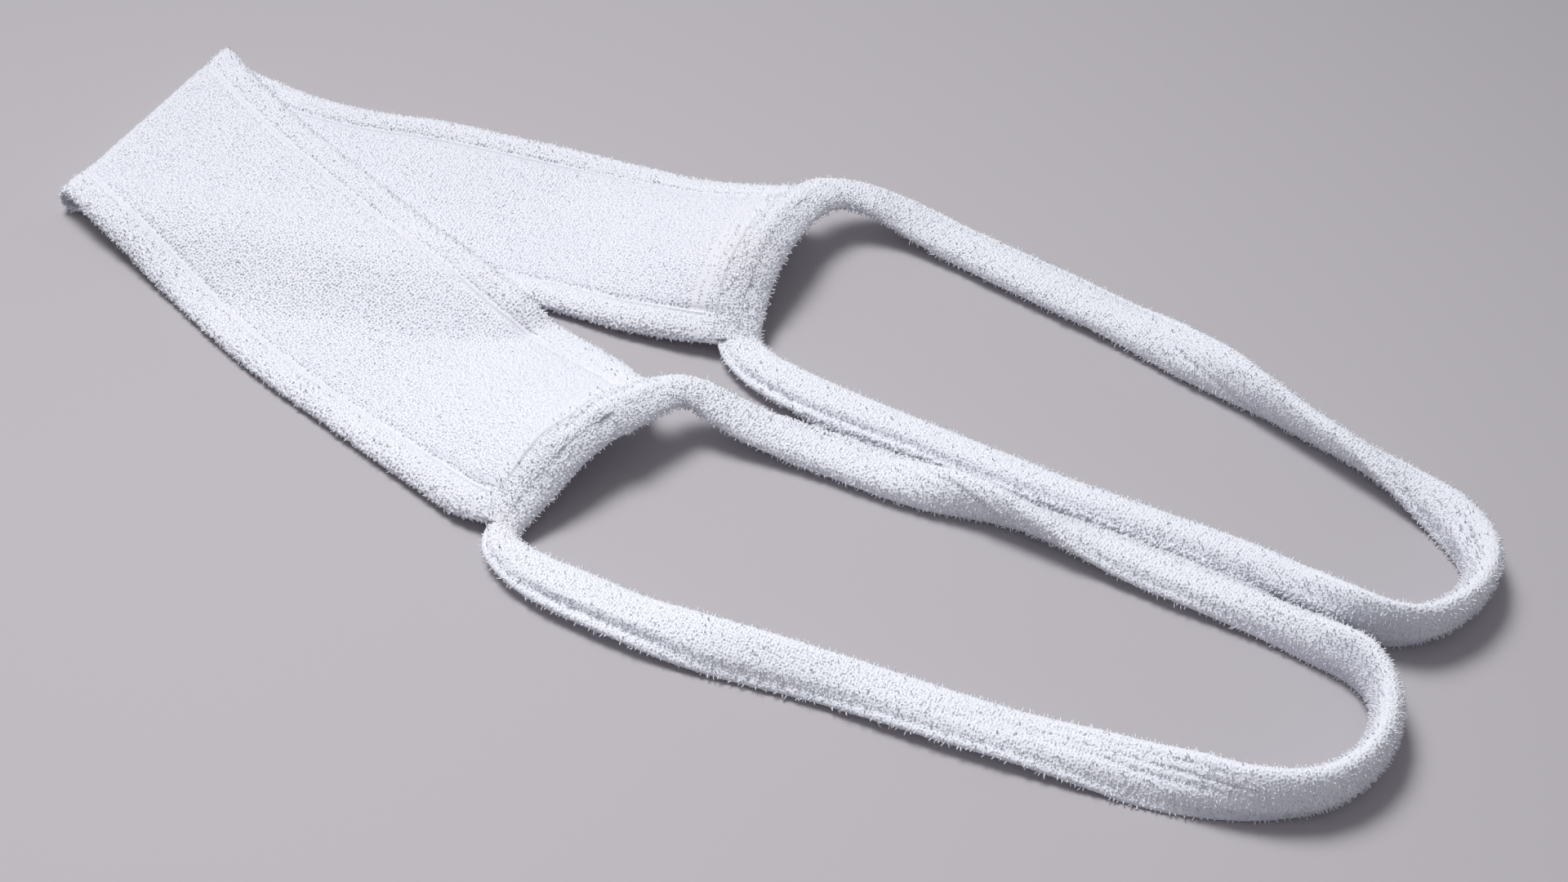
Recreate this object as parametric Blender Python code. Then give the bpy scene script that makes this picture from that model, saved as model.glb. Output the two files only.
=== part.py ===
import math

import bmesh
import bpy
import numpy as np

# Terry back washing strap: one terry strip folded once, with a loop handle bound over each end.
# Frame: +X from the fold to the loop ends, +Y across, +Z up, the floor at z = 0.
# The origin is under the middle of the strap. Table lengths are millimetres, angles degrees.
millimetre = 0.001
middle = (3.1, -2.8, 0.0)   # middle of the strap in the tables' own coordinates

# The strip.
sheet_half = 2.5           # half the body thickness, pile included
strip_width = 104.0        # from edge to edge
end_gap = 1.0              # between the strip's cut end and the tape that binds it
end_tuck = 3.5             # how much lower than the tape's side the strip's far corner meets it
columns_across = 21
spacing_along = 11.0
fold_steps = 5
bound_points = 60          # along the tape's side, where the strip's end is read from

# Section of the strip from either edge inwards: inset from the edge, height of the puffed face
# and height of the plain face above the mid surface. The hem is 14 wide and ends at its seam.
edge_profile = (
    # inset, puffed, plain
    (0.0, 0.0, 0.0),
    (0.8, 2.2, 1.7),
    (2.6, 3.5, 2.5),
    (6.5, 4.1, 2.5),
    (11.0, 3.4, 2.5),
    (14.0, 1.9, 2.5),
    (17.5, 2.3, 2.5),
    (30.0, 2.5, 2.5),
)

# Rows run from the bound end of the lower half to the fold, then along the upper half to its
# bound end. Near edge is the -Y one. Lifts are heights of the underside above the floor.
lower_half = (
    # near_x, near_y, far_x, far_y, near_lift, middle_lift, far_lift
    (-32.0, 8.5, -46.0, 100.5, 1.2, 13.0, 8.0),
    (-50.0, 5.5, -66.0, 99.0, 0.4, 8.5, 4.0),
    (-72.0, 3.5, -90.0, 98.5, 0.0, 4.0, 1.2),
    (-99.0, 0.0, -118.0, 96.0, 0.0, 0.6, 0.0),
    (-130.0, -6.0, -150.0, 90.5, 0.0, 0.0, 0.0),
    (-165.0, -14.5, -184.0, 84.0, 0.0, 0.0, 0.0),
    (-200.0, -23.0, -214.0, 75.0, 0.0, 0.0, 0.0),
    (-232.0, -31.0, -242.0, 71.0, 0.0, 0.0, 0.0),
    (-262.0, -38.5, -268.0, 72.0, 0.0, 0.0, 0.0),
    (-284.0, -43.0, -290.0, 74.5, 0.0, 0.0, 0.0),
)
upper_half = (
    # near_x, near_y, far_x, far_y, near_lift, middle_lift, far_lift
    (-284.0, -43.0, -290.0, 74.5, 0.0, 0.0, 0.0),
    (-265.0, -49.5, -266.0, 63.0, 0.0, 0.0, 0.0),
    (-242.0, -56.5, -233.0, 48.5, 0.0, 0.0, 0.0),
    (-212.0, -67.0, -197.0, 36.0, 0.0, 0.0, 0.0),
    (-178.0, -79.0, -158.0, 23.0, 0.0, 0.0, 0.0),
    (-146.0, -88.5, -122.0, 11.5, 0.0, 0.0, 0.0),
    (-113.0, -96.0, -90.0, 1.0, 0.0, 1.0, 0.0),
    (-86.0, -102.5, -64.0, -5.0, 0.0, 4.5, 1.0),
    (-62.0, -108.0, -45.0, -11.0, 0.2, 9.0, 4.0),
    (-44.0, -112.0, -28.0, -18.0, 0.8, 13.5, 8.5),
)

# Where the upper half lies across the lower one. Places are distances in from the lower half's
# near edge: the cloth leaves the floor at the first, is up on the hem at the second, and comes
# down from hem to body between the last two. Towards its bound end it is back on the floor.
over_hem = 7.8
over_body = 6.2
drape_places = (-38.0, -1.5)
body_places = (12.0, 24.0)
drape_end_x = (-88.0, -62.0)
edge_slant = 0.97          # cosine of the angle of the lower half's near edge
drape_join = 0.8           # rows from the fold over which the drape takes over from the fold

# Rows from the middle of the fold over which the puffed face grows or fades.
top_puff_rows = (-0.5, 4.0)
under_puff_rows = (-4.6, -3.2)

# Loop handles, each a flattened terry tube. Rows run clockwise seen from above, from the neck
# along the strip's end, out along the far arm, round the turn and back along the near arm.
# Under is the height of the lowest point, roll turns the section about its path.
front_loop = (
    # x, y, under, width, thick, roll
    (-22.0, -110.5, 0.8, 15.5, 8.5, 4.0),
    (-21.5, -100.0, 4.5, 18.0, 8.5, 14.0),
    (-19.5, -88.0, 9.0, 20.0, 8.5, 23.0),
    (-17.5, -76.5, 12.5, 20.5, 8.5, 27.0),
    (-14.5, -65.5, 14.5, 19.0, 7.2, 28.0),
    (-11.0, -54.5, 15.5, 20.5, 8.5, 26.0),
    (-7.0, -43.5, 15.0, 20.0, 8.5, 22.0),
    (-3.5, -33.5, 14.0, 19.0, 9.0, 15.0),
    (0.5, -25.5, 12.5, 18.0, 9.0, 8.0),
    (7.5, -21.3, 10.5, 18.5, 9.0, 2.0),
    (16.0, -20.5, 7.5, 20.0, 9.0, 0.0),
    (27.0, -19.5, 4.2, 21.5, 9.0, 0.0),
    (40.0, -18.0, 1.5, 22.0, 9.0, 0.0),
    (60.0, -16.4, 0.0, 21.5, 9.0, 0.0),
    (84.0, -15.8, 0.0, 21.0, 9.5, 6.0),
    (103.0, -14.8, 0.0, 20.0, 11.0, 26.0),
    (118.0, -13.6, 0.0, 18.5, 12.5, 60.0),
    (131.0, -12.8, 0.0, 17.5, 13.0, 96.0),
    (146.0, -12.2, 0.0, 18.0, 12.0, 134.0),
    (165.0, -12.0, 0.0, 18.5, 10.5, 166.0),
    (185.0, -12.2, 0.0, 19.5, 10.0, 180.0),
    (205.0, -12.4, 0.0, 19.5, 10.0, 182.0),
    (225.0, -12.8, 0.0, 18.5, 10.5, 192.0),
    (243.0, -14.2, 0.0, 17.5, 11.0, 212.0),
    (259.0, -16.6, 0.0, 19.5, 10.5, 232.0),
    (272.0, -20.0, 0.0, 21.5, 10.0, 247.0),
    (282.5, -27.5, 0.0, 21.5, 10.5, 256.0),
    (289.5, -38.5, 0.0, 21.0, 12.0, 262.0),
    (292.5, -52.0, 0.0, 21.0, 12.5, 265.0),
    (291.0, -66.0, 0.0, 21.0, 12.5, 269.0),
    (284.5, -79.0, 0.0, 21.0, 12.5, 275.0),
    (273.5, -88.5, 0.0, 21.5, 12.0, 283.0),
    (259.0, -95.0, 0.0, 22.5, 11.5, 300.0),
    (238.0, -99.0, 0.0, 24.5, 9.5, 326.0),
    (212.0, -102.0, 0.0, 25.0, 9.5, 348.0),
    (187.0, -105.5, 0.0, 25.0, 9.5, 360.0),
    (163.0, -109.0, 0.0, 25.0, 9.5, 360.0),
    (139.0, -112.0, 0.0, 24.0, 9.5, 356.0),
    (113.0, -115.5, 0.0, 22.5, 9.5, 346.0),
    (89.0, -119.5, 0.0, 23.5, 9.5, 342.0),
    (65.0, -123.0, 0.0, 25.0, 9.5, 350.0),
    (41.0, -124.5, 0.0, 25.0, 9.5, 360.0),
    (18.0, -124.5, 0.0, 24.5, 9.5, 360.0),
    (2.0, -123.8, 0.0, 22.5, 9.5, 360.0),
    (-10.0, -121.5, 0.2, 19.5, 9.5, 360.0),
    (-18.5, -117.5, 0.4, 16.5, 9.0, 360.0),
)
rear_loop = (
    # x, y, under, width, thick, roll
    (0.0, 20.5, 1.2, 20.0, 8.5, 4.0),
    (-5.0, 31.0, 6.0, 20.5, 8.5, 14.0),
    (-8.5, 43.0, 11.0, 21.0, 8.5, 22.0),
    (-10.5, 56.0, 14.5, 21.0, 8.5, 26.0),
    (-12.0, 69.0, 16.0, 21.0, 8.5, 26.0),
    (-13.0, 82.0, 15.5, 21.0, 8.5, 23.0),
    (-13.0, 95.0, 14.0, 20.5, 8.5, 17.0),
    (-10.0, 106.0, 12.5, 20.0, 9.0, 10.0),
    (-3.0, 113.5, 10.5, 19.5, 9.0, 4.0),
    (7.0, 117.5, 8.0, 20.5, 9.0, 0.0),
    (17.0, 119.5, 5.0, 22.0, 9.0, 0.0),
    (29.0, 119.8, 2.2, 23.5, 9.0, 0.0),
    (46.0, 118.5, 0.3, 24.0, 9.5, 0.0),
    (71.0, 115.5, 0.0, 25.0, 9.5, 0.0),
    (95.0, 112.5, 0.0, 25.5, 9.5, 0.0),
    (120.0, 109.0, 0.0, 25.0, 9.5, 0.0),
    (140.0, 105.0, 0.0, 24.0, 10.0, 12.0),
    (158.0, 99.8, 0.0, 22.5, 11.0, 28.0),
    (174.0, 95.4, 0.0, 20.5, 12.0, 48.0),
    (189.0, 91.2, 0.0, 18.5, 13.0, 72.0),
    (206.0, 86.6, 0.0, 17.0, 13.0, 100.0),
    (227.0, 81.3, 0.0, 18.5, 12.5, 132.0),
    (249.0, 76.5, 0.0, 20.5, 11.5, 164.0),
    (267.0, 70.5, 0.0, 21.5, 11.0, 194.0),
    (282.0, 60.0, 0.0, 21.5, 11.0, 220.0),
    (292.0, 47.0, 0.0, 21.5, 11.5, 237.0),
    (295.0, 32.5, 0.0, 21.5, 12.0, 248.0),
    (292.5, 18.5, 0.0, 21.5, 12.0, 256.0),
    (286.0, 7.0, 0.0, 22.0, 11.0, 263.0),
    (276.0, 0.5, 0.0, 23.0, 9.5, 272.0),
    (262.0, 0.0, 0.0, 22.0, 9.5, 288.0),
    (246.0, 3.4, 0.0, 20.0, 10.0, 312.0),
    (228.0, 7.0, 0.0, 19.0, 10.5, 338.0),
    (209.0, 8.8, 0.0, 19.0, 10.5, 354.0),
    (190.0, 8.8, 0.0, 19.0, 10.5, 360.0),
    (168.0, 8.2, 0.0, 18.5, 10.5, 360.0),
    (147.0, 7.6, 0.0, 18.0, 10.5, 360.0),
    (125.0, 7.4, 0.0, 19.5, 10.0, 360.0),
    (99.0, 7.6, 0.0, 21.0, 9.5, 360.0),
    (73.0, 7.6, 0.0, 22.0, 9.5, 360.0),
    (47.0, 8.0, 0.0, 23.0, 9.5, 360.0),
    (27.0, 9.5, 0.2, 23.0, 9.5, 360.0),
    (12.0, 13.0, 0.6, 21.0, 9.0, 360.0),
)
loop_sections = 108
readings_a_row = 40        # readings of a row's span when distance along a loop is summed
heading_step = 0.02        # rows either side of a place between which its heading is read
# The first rows of each loop bind the strip's end, from the near corner to the far one.
front_bound_rows = (0, 7.2)
rear_bound_rows = (0, 6.6)

# Section of the tape in half widths and half thicknesses: a puffed tube with a flat sewn lip.
tape_profile = (
    # across, up
    (1.0, 0.0),
    (0.93, 0.24),
    (0.74, 0.30),
    (0.58, 0.66),
    (0.32, 0.95),
    (-0.10, 1.0),
    (-0.50, 0.93),
    (-0.84, 0.62),
    (-1.0, 0.0),
    (-0.84, -0.62),
    (-0.50, -0.93),
    (-0.10, -1.0),
    (0.32, -1.0),
    (0.58, -0.72),
    (0.74, -0.36),
    (0.93, -0.24),
)
fill_ratios = (0.5, 0.72)  # of thickness to width, over which the lip fills out and the tape rounds

white_panel = (0.83, 0.85, 0.92, 1.0)
white_handle = (0.80, 0.81, 0.88, 1.0)
pile_roughness = 0.95


def smooth_step(value, low, high):
    part = np.clip((value - low) / (high - low), 0.0, 1.0)
    return part * part * (3.0 - 2.0 * part)


def smooth_rows(rows, closed, places):
    """Cubic through the rows, read at row numbers such as 2.5."""
    rows = np.asarray(rows, float)
    count = len(rows)
    places = np.asarray(places, float)
    base = np.floor(places).astype(int)
    if closed:
        picks = [(base + shift) % count for shift in (-1, 0, 1, 2)]
    else:
        base = np.clip(base, 0, count - 2)
        picks = [np.clip(base + shift, 0, count - 1) for shift in (-1, 0, 1, 2)]
    part = (places - base)[:, None]
    before, start, end, after = (rows[pick] for pick in picks)
    gap_before = np.maximum(np.linalg.norm((start - before)[:, :2], axis=1), 1e-6)[:, None]
    gap = np.maximum(np.linalg.norm((end - start)[:, :2], axis=1), 1e-6)[:, None]
    gap_after = np.maximum(np.linalg.norm((after - end)[:, :2], axis=1), 1e-6)[:, None]
    slope_start = (end - before) * gap / (gap_before + gap)
    slope_end = (after - start) * gap / (gap + gap_after)
    square = part * part
    cube = square * part
    return ((2 * cube - 3 * square + 1) * start + (cube - 2 * square + part) * slope_start
            + (3 * square - 2 * cube) * end + (cube - square) * slope_end)


def even_places(rows, count):
    """Row numbers that lie evenly round the closed path of the rows."""
    fine = np.linspace(0.0, len(rows), readings_a_row * len(rows) + 1)
    points = smooth_rows(rows, True, fine)[:, :2]
    steps = np.linalg.norm(np.diff(points, axis=0), axis=1)
    along = np.concatenate(([0.0], np.cumsum(steps)))
    return np.interp(np.linspace(0.0, along[-1], count + 1), along, fine)[:-1]


def loop_rows(rows):
    """The table with each roll as its cosine and sine, so that a full turn makes no jump."""
    table = np.array(rows, float)
    roll = np.radians(table[:, 5])
    return np.column_stack((table[:, :5], np.cos(roll), np.sin(roll)))


def loop_stations(rows, places):
    """Centre, side, upward side, width, thickness and lowest height at each place of a loop."""
    table = loop_rows(rows)
    values = smooth_rows(table, True, places)
    ahead = smooth_rows(table, True, places + heading_step)[:, :3]
    behind = smooth_rows(table, True, places - heading_step)[:, :3]
    heading = ahead - behind
    heading /= np.linalg.norm(heading, axis=1)[:, None]
    left = np.column_stack((-heading[:, 1], heading[:, 0], np.zeros(len(heading))))
    left /= np.linalg.norm(left, axis=1)[:, None]
    up = np.cross(heading, left)
    turn = np.arctan2(values[:, 6], values[:, 5])[:, None]
    side = np.cos(turn) * left + np.sin(turn) * up
    top = np.cos(turn) * up - np.sin(turn) * left
    centre = np.column_stack((values[:, 0], values[:, 1], np.zeros(len(values))))
    return centre, side, top, values[:, 3], values[:, 4], np.maximum(values[:, 2], 0.0)


def tape_sections(width, thick):
    """Section at each place, in half widths and half thicknesses."""
    profile = np.array(tape_profile)
    rounded = profile / np.linalg.norm(profile, axis=1)[:, None]
    share = smooth_step(thick / width, *fill_ratios)[:, None, None]
    return profile + share * (rounded - profile)


def loop_rings(rows, places):
    """Sections of the tape at the places of a loop, and their centres."""
    centre, side, top, width, thick, under = loop_stations(rows, places)
    section = tape_sections(width, thick)
    across = side[:, None, :] * (section[:, :, 0, None] * width[:, None, None] / 2)
    upward = top[:, None, :] * (section[:, :, 1, None] * thick[:, None, None] / 2)
    rings = centre[:, None, :] + across + upward
    lowest = rings[:, :, 2].min(axis=1)
    drop = under - lowest
    rings[:, :, 2] += drop[:, None]
    centre[:, 2] += drop
    return rings, centre


def bound_edge(rows, bound_rows, count):
    """Line just off the tape's strip side, along the rows that bind the strip's end."""
    first, last = bound_rows
    places = np.linspace(first, last, count)
    rings, centre = loop_rings(rows, places)
    side = loop_stations(rows, places)[1]
    left = np.column_stack((side[:, 0], side[:, 1], np.zeros(count)))
    left /= np.linalg.norm(left, axis=1)[:, None]
    reach = ((rings - centre[:, None, :]) * left[:, None, :]).sum(axis=2).max(axis=1)
    line = centre + left * (reach + end_gap)[:, None]
    line[:, 2] = rings[:, 0, 2] - end_tuck * smooth_step(places, first, last)
    return line


def drape_height(x, y):
    """Height of the upper half's underside over the lower half, and down to the floor beside it."""
    table = np.array(lower_half)[::-1]
    inside = (y - np.interp(x, table[:, 0], table[:, 1])) * edge_slant
    rise = over_hem * smooth_step(inside, *drape_places)
    rise -= (over_hem - over_body) * smooth_step(inside, *body_places)
    return rise * (1.0 - smooth_step(x, *drape_end_x))


def strip_row(row, share, drapes):
    """One row of the strip's mid surface, bowed between the lifts of its edges and its middle."""
    near_x, near_y, far_x, far_y, near_lift, middle_lift, far_lift = row
    x = near_x + (far_x - near_x) * share
    y = near_y + (far_y - near_y) * share
    bow = 4 * share * (1 - share)
    lift = near_lift * (1 - share) + far_lift * share
    lift = lift + bow * (middle_lift - (near_lift + far_lift) / 2)
    if drapes:
        lift = np.maximum(lift, drape_height(x, y))
    return np.column_stack((x, y, lift + sheet_half))


def strip_shares():
    """Where the strip's points lie across it, closest together in its hems."""
    insets = np.array([row[0] for row in edge_profile])
    inner = columns_across - 2 * len(insets)
    body = np.linspace(insets[-1], strip_width - insets[-1], inner + 2)[1:-1]
    return np.concatenate((insets, body, strip_width - insets[::-1])) / strip_width


def strip_grid(share, drapes):
    """Mid surface of the strip: rows along it, points across it from the near to the far edge."""
    start = strip_row(lower_half[-1], share, False)
    finish = strip_row(upper_half[0], share, True)
    rows = [resample_line(bound_edge(rear_loop, rear_bound_rows, bound_points), share)]
    rows += [strip_row(row, share, False) for row in lower_half]
    for step in range(1, fold_steps + 1):
        angle = math.pi * step / (fold_steps + 1)
        arc = (start + finish) / 2
        half = (finish[:, 2] - start[:, 2]) / 2
        arc[:, 0] -= np.sin(angle) * half
        arc[:, 2] -= np.cos(angle) * half
        rows.append(arc)
    rows.append(finish)
    rows += [strip_row(row, share, drapes) for row in upper_half[1:]]
    rows.append(resample_line(bound_edge(front_loop, front_bound_rows, bound_points), share))
    return np.array(rows)


def resample_line(line, share):
    steps = np.linalg.norm(np.diff(line, axis=0), axis=1)
    along = np.concatenate(([0.0], np.cumsum(steps)))
    wanted = share * along[-1]
    return np.column_stack([np.interp(wanted, along, line[:, axis]) for axis in range(3)])


def strip_places(grid):
    """Row numbers that split each span of the table into steps of about the stated spacing."""
    centre_line = grid[:, grid.shape[1] // 2]
    spans = np.linalg.norm(np.diff(centre_line, axis=0), axis=1)
    places = []
    for number, span in enumerate(spans):
        parts = max(1, int(round(span / spacing_along)))
        places += [number + part / parts for part in range(parts)]
    return np.array(places + [len(grid) - 1.0])


def strip_surface(share, places):
    """Mid surface at the places along the strip, the drape read point by point past the fold."""
    draped = strip_grid(share, True)
    plain = strip_grid(share, False)
    surface = np.zeros((len(places), len(share), 3))
    for column in range(len(share)):
        surface[:, column] = smooth_rows(draped[:, column], False, places)
        flat = smooth_rows(plain[:, column], False, places)[:, 2]
        rise = drape_height(surface[:, column, 0], surface[:, column, 1]) + sheet_half
        past = len(lower_half) + fold_steps + 1
        join = smooth_step(places, past, past + drape_join)
        surface[:, column, 2] += join * (np.maximum(flat, rise) - surface[:, column, 2])
    surface[:, :, 2] = np.maximum(surface[:, :, 2], sheet_half)
    return surface


def strip_vertices():
    """Rings round the strip's section: its outer face, then its inner face coming back."""
    share = strip_shares()
    places = strip_places(strip_grid(share, True))
    surface = strip_surface(share, places)
    normal = np.cross(np.gradient(surface, axis=0), np.gradient(surface, axis=1))
    normal /= np.linalg.norm(normal, axis=2)[:, :, None]
    profile = np.array(edge_profile)
    from_edge = np.minimum(share, 1 - share) * strip_width
    puffed = np.interp(from_edge, profile[:, 0], profile[:, 1])
    plain = np.interp(from_edge, profile[:, 0], profile[:, 2])
    from_fold = places - (len(lower_half) + fold_steps // 2 + 1)
    top_puff = smooth_step(from_fold, *top_puff_rows)[:, None]
    under_puff = 1.0 - smooth_step(from_fold, *under_puff_rows)[:, None]
    top = top_puff * puffed + (1 - top_puff) * plain
    under = under_puff * puffed + (1 - under_puff) * plain
    outer_face = surface + normal * top[:, :, None]
    inner_face = surface - normal * under[:, :, None]
    return np.concatenate((outer_face, inner_face[:, -2:0:-1]), axis=1)


def make_mesh(name, rings, closed, material):
    """Skin over rings of points, with flat caps where the rings do not close on themselves."""
    count, around = rings.shape[:2]
    mesh = bmesh.new()
    placed = (rings - np.array(middle)) * millimetre
    points = [[mesh.verts.new(tuple(point)) for point in ring] for ring in placed]
    last = count if closed else count - 1
    for row in range(last):
        following = points[(row + 1) % count]
        for column in range(around):
            beside = (column + 1) % around
            mesh.faces.new((points[row][column], points[row][beside],
                            following[beside], following[column]))
    if not closed:
        half = around // 2
        for ring in (points[0], points[-1]):
            for step in range(half):
                corners = [ring[step], ring[step + 1], ring[-step - 1]]
                if step:
                    corners.append(ring[-step])
                if len(set(corners)) >= 3:
                    mesh.faces.new(list(dict.fromkeys(corners)))
    bmesh.ops.recalc_face_normals(mesh, faces=mesh.faces)
    bmesh.ops.triangulate(mesh, faces=mesh.faces)
    for face in mesh.faces:
        face.smooth = True
    data = bpy.data.meshes.new(name)
    mesh.to_mesh(data)
    mesh.free()
    data.materials.append(material)
    item = bpy.data.objects.new(name, data)
    bpy.context.scene.collection.objects.link(item)
    return item


def make_material(name, colour):
    material = bpy.data.materials.new(name)
    material.use_nodes = True
    shader = material.node_tree.nodes["Principled BSDF"]
    shader.inputs["Base Color"].default_value = colour
    shader.inputs["Roughness"].default_value = pile_roughness
    shader.inputs["Metallic"].default_value = 0.0
    return material


def main():
    for item in list(bpy.data.objects):
        bpy.data.objects.remove(item, do_unlink=True)
    panel_terry = make_material("panel_terry", white_panel)
    handle_terry = make_material("handle_terry", white_handle)
    make_mesh("terry_strip", strip_vertices(), False, panel_terry)
    for name, rows in (("front_handle", front_loop), ("rear_handle", rear_loop)):
        places = even_places(loop_rows(rows), loop_sections)
        make_mesh(name, loop_rings(rows, places)[0], True, handle_terry)


main()
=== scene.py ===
import math

import bmesh
import bpy
import numpy as np
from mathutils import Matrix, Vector
from mathutils.kdtree import KDTree


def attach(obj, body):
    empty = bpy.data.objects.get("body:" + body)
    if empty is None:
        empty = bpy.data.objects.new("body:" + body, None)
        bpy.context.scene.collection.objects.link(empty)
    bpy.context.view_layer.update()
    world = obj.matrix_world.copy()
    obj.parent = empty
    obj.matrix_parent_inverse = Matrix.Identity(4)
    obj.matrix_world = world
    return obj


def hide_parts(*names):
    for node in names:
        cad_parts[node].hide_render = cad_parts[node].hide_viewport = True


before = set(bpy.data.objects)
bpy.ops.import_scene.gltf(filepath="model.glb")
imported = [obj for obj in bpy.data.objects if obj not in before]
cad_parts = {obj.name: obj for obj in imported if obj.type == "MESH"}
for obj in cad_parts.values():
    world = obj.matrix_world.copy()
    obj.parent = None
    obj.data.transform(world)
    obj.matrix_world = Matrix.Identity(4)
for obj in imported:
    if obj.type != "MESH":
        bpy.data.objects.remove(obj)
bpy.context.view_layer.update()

# Terry back washing strap: a terry strip folded once, a loop handle bound over each end.
# The tables are the part's own, in millimetres and degrees; the middle of the strap is
# taken off before a mesh is made, so every piece lies where its solid does.
millimetre = 0.001
middle = np.array((3.1, -2.8, 0.0))
chance = np.random.default_rng(31)
print("frame loaded")

edgeProfile = (
    # inset, puffed, plain
    (0.0, 0.0, 0.0),
    (0.8, 2.2, 1.7),
    (2.6, 3.5, 2.5),
    (6.5, 4.1, 2.5),
    (11.0, 3.4, 2.5),
    (14.0, 1.9, 2.5),
    (17.5, 2.3, 2.5),
    (30.0, 2.5, 2.5),
)

lowerHalf = (
    # near_x, near_y, far_x, far_y, near_lift, middle_lift, far_lift
    (-32.0, 8.5, -46.0, 100.5, 1.2, 13.0, 8.0),
    (-50.0, 5.5, -66.0, 99.0, 0.4, 8.5, 4.0),
    (-72.0, 3.5, -90.0, 98.5, 0.0, 4.0, 1.2),
    (-99.0, 0.0, -118.0, 96.0, 0.0, 0.6, 0.0),
    (-130.0, -6.0, -150.0, 90.5, 0.0, 0.0, 0.0),
    (-165.0, -14.5, -184.0, 84.0, 0.0, 0.0, 0.0),
    (-200.0, -23.0, -214.0, 75.0, 0.0, 0.0, 0.0),
    (-232.0, -31.0, -242.0, 71.0, 0.0, 0.0, 0.0),
    (-262.0, -38.5, -268.0, 72.0, 0.0, 0.0, 0.0),
    (-284.0, -43.0, -290.0, 74.5, 0.0, 0.0, 0.0),
)

upperHalf = (
    # near_x, near_y, far_x, far_y, near_lift, middle_lift, far_lift
    (-284.0, -43.0, -290.0, 74.5, 0.0, 0.0, 0.0),
    (-265.0, -49.5, -266.0, 63.0, 0.0, 0.0, 0.0),
    (-242.0, -56.5, -233.0, 48.5, 0.0, 0.0, 0.0),
    (-212.0, -67.0, -197.0, 36.0, 0.0, 0.0, 0.0),
    (-178.0, -79.0, -158.0, 23.0, 0.0, 0.0, 0.0),
    (-146.0, -88.5, -122.0, 11.5, 0.0, 0.0, 0.0),
    (-113.0, -96.0, -90.0, 1.0, 0.0, 1.0, 0.0),
    (-86.0, -102.5, -64.0, -5.0, 0.0, 4.5, 1.0),
    (-62.0, -108.0, -45.0, -11.0, 0.2, 9.0, 4.0),
    (-44.0, -112.0, -28.0, -18.0, 0.8, 13.5, 8.5),
)

frontLoop = (
    # x, y, under, width, thick, roll
    (-22.0, -110.5, 0.8, 15.5, 8.5, 4.0),
    (-21.5, -100.0, 4.5, 18.0, 8.5, 14.0),
    (-19.5, -88.0, 9.0, 20.0, 8.5, 23.0),
    (-17.5, -76.5, 12.5, 20.5, 8.5, 27.0),
    (-14.5, -65.5, 14.5, 19.0, 7.2, 28.0),
    (-11.0, -54.5, 15.5, 20.5, 8.5, 26.0),
    (-7.0, -43.5, 15.0, 20.0, 8.5, 22.0),
    (-3.5, -33.5, 14.0, 19.0, 9.0, 15.0),
    (0.5, -25.5, 12.5, 18.0, 9.0, 8.0),
    (7.5, -21.3, 10.5, 18.5, 9.0, 2.0),
    (16.0, -20.5, 7.5, 20.0, 9.0, 0.0),
    (27.0, -19.5, 4.2, 21.5, 9.0, 0.0),
    (40.0, -18.0, 1.5, 22.0, 9.0, 0.0),
    (60.0, -16.4, 0.0, 21.5, 9.0, 0.0),
    (84.0, -15.8, 0.0, 21.0, 9.5, 6.0),
    (103.0, -14.8, 0.0, 20.0, 11.0, 26.0),
    (118.0, -13.6, 0.0, 18.5, 12.5, 60.0),
    (131.0, -12.8, 0.0, 17.5, 13.0, 96.0),
    (146.0, -12.2, 0.0, 18.0, 12.0, 134.0),
    (165.0, -12.0, 0.0, 18.5, 10.5, 166.0),
    (185.0, -12.2, 0.0, 19.5, 10.0, 180.0),
    (205.0, -12.4, 0.0, 19.5, 10.0, 182.0),
    (225.0, -12.8, 0.0, 18.5, 10.5, 192.0),
    (243.0, -14.2, 0.0, 17.5, 11.0, 212.0),
    (259.0, -16.6, 0.0, 19.5, 10.5, 232.0),
    (272.0, -20.0, 0.0, 21.5, 10.0, 247.0),
    (282.5, -27.5, 0.0, 21.5, 10.5, 256.0),
    (289.5, -38.5, 0.0, 21.0, 12.0, 262.0),
    (292.5, -52.0, 0.0, 21.0, 12.5, 265.0),
    (291.0, -66.0, 0.0, 21.0, 12.5, 269.0),
    (284.5, -79.0, 0.0, 21.0, 12.5, 275.0),
    (273.5, -88.5, 0.0, 21.5, 12.0, 283.0),
    (259.0, -95.0, 0.0, 22.5, 11.5, 300.0),
    (238.0, -99.0, 0.0, 24.5, 9.5, 326.0),
    (212.0, -102.0, 0.0, 25.0, 9.5, 348.0),
    (187.0, -105.5, 0.0, 25.0, 9.5, 360.0),
    (163.0, -109.0, 0.0, 25.0, 9.5, 360.0),
    (139.0, -112.0, 0.0, 24.0, 9.5, 356.0),
    (113.0, -115.5, 0.0, 22.5, 9.5, 346.0),
    (89.0, -119.5, 0.0, 23.5, 9.5, 342.0),
    (65.0, -123.0, 0.0, 25.0, 9.5, 350.0),
    (41.0, -124.5, 0.0, 25.0, 9.5, 360.0),
    (18.0, -124.5, 0.0, 24.5, 9.5, 360.0),
    (2.0, -123.8, 0.0, 22.5, 9.5, 360.0),
    (-10.0, -121.5, 0.2, 19.5, 9.5, 360.0),
    (-18.5, -117.5, 0.4, 16.5, 9.0, 360.0),
)

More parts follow.
